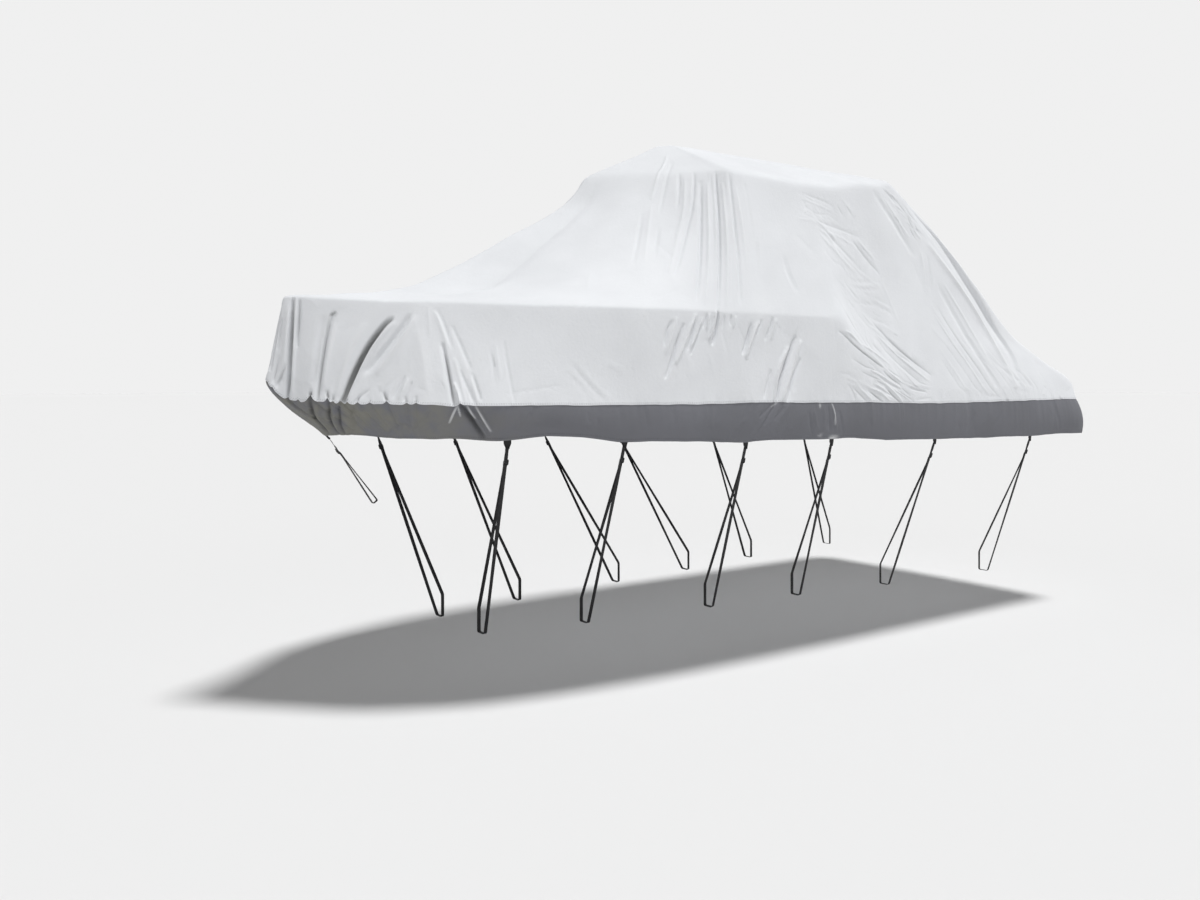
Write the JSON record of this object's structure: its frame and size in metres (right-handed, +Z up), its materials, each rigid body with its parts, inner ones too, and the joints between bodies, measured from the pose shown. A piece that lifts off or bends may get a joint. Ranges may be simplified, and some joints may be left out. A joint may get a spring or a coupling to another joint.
{
  "type": "boat cover",
  "caption": "Fitted boat cover draped in its hung shape, hollow, with a dark skirt band and webbing tie-down straps with slider buckles.",
  "frame": {"origin": "underside of the top cloth at the roof's peak, on the boat's centreline", "axes": "+X aft along the boat, -Y to port, +Z up"},
  "size_m": [6.7067, 2.575, 3.339],
  "materials": {
    "top_cloth": "matt",
    "skirt_cloth": "matt",
    "webbing": "matt",
    "buckle": "satin"
  },
  "bodies": {
    "root": {"cover_top": "top_cloth", "skirt_band": "skirt_cloth", "tab_bow": "webbing", "tab_port_1": "webbing", "tab_port_2": "webbing", "tab_port_3": "webbing", "tab_port_4": "webbing", "tab_port_5": "webbing", "tab_port_6": "webbing", "tab_starboard_1": "webbing", "tab_starboard_2": "webbing", "tab_starboard_3": "webbing", "tab_starboard_4": "webbing", "tab_starboard_5": "webbing", "tab_starboard_6": "webbing", "strap_bow": "webbing", "strap_port_1": "webbing", "strap_port_2": "webbing", "strap_port_3": "webbing", "strap_port_4": "webbing", "strap_port_5": "webbing", "strap_port_6": "webbing", "strap_starboard_1": "webbing", "strap_starboard_2": "webbing", "strap_starboard_3": "webbing", "strap_starboard_4": "webbing", "strap_starboard_5": "webbing", "strap_starboard_6": "webbing", "buckle_bow": "buckle", "buckle_port_1": "buckle", "buckle_port_2": "buckle", "buckle_port_3": "buckle", "buckle_port_4": "buckle", "buckle_port_5": "buckle", "buckle_port_6": "buckle", "buckle_starboard_1": "buckle", "buckle_starboard_2": "buckle", "buckle_starboard_3": "buckle", "buckle_starboard_4": "buckle", "buckle_starboard_5": "buckle", "buckle_starboard_6": "buckle"}
  },
  "joints": []
}
